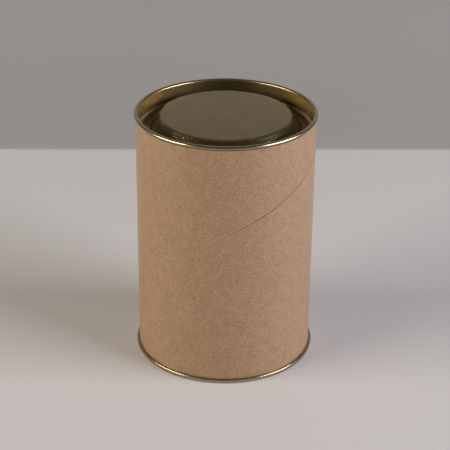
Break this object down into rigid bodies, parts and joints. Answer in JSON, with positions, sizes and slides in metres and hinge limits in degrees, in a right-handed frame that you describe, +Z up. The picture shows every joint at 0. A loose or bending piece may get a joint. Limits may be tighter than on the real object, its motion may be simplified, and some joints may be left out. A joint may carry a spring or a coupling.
{
  "type": "cardboard tube box",
  "caption": "Round canister: spiral-wound kraft cardboard tube, tin bottom seamed on to its foot, and a lift-off tin plug lid with a curled rim and a raised panel.",
  "frame": {"origin": "centre of the foot, on the surface that the canister stands on", "axes": "+Z up along the tube's axis, towards the lid; -Y is the front in the picture"},
  "size_m": [0.0926, 0.0926, 0.1305],
  "materials": {
    "kraft_paper": "matte",
    "gold_tin": "satin"
  },
  "bodies": {
    "can": {"paper_tube": "kraft_paper", "bottom_end": "gold_tin"},
    "lid": {"plug_lid": "gold_tin"}
  },
  "joints": [
    {"name": "lid_lift", "type": "slide", "parent": "can", "child": "lid", "axis": [0, 0, 1], "range_m": [0, 0.05]}
  ]
}
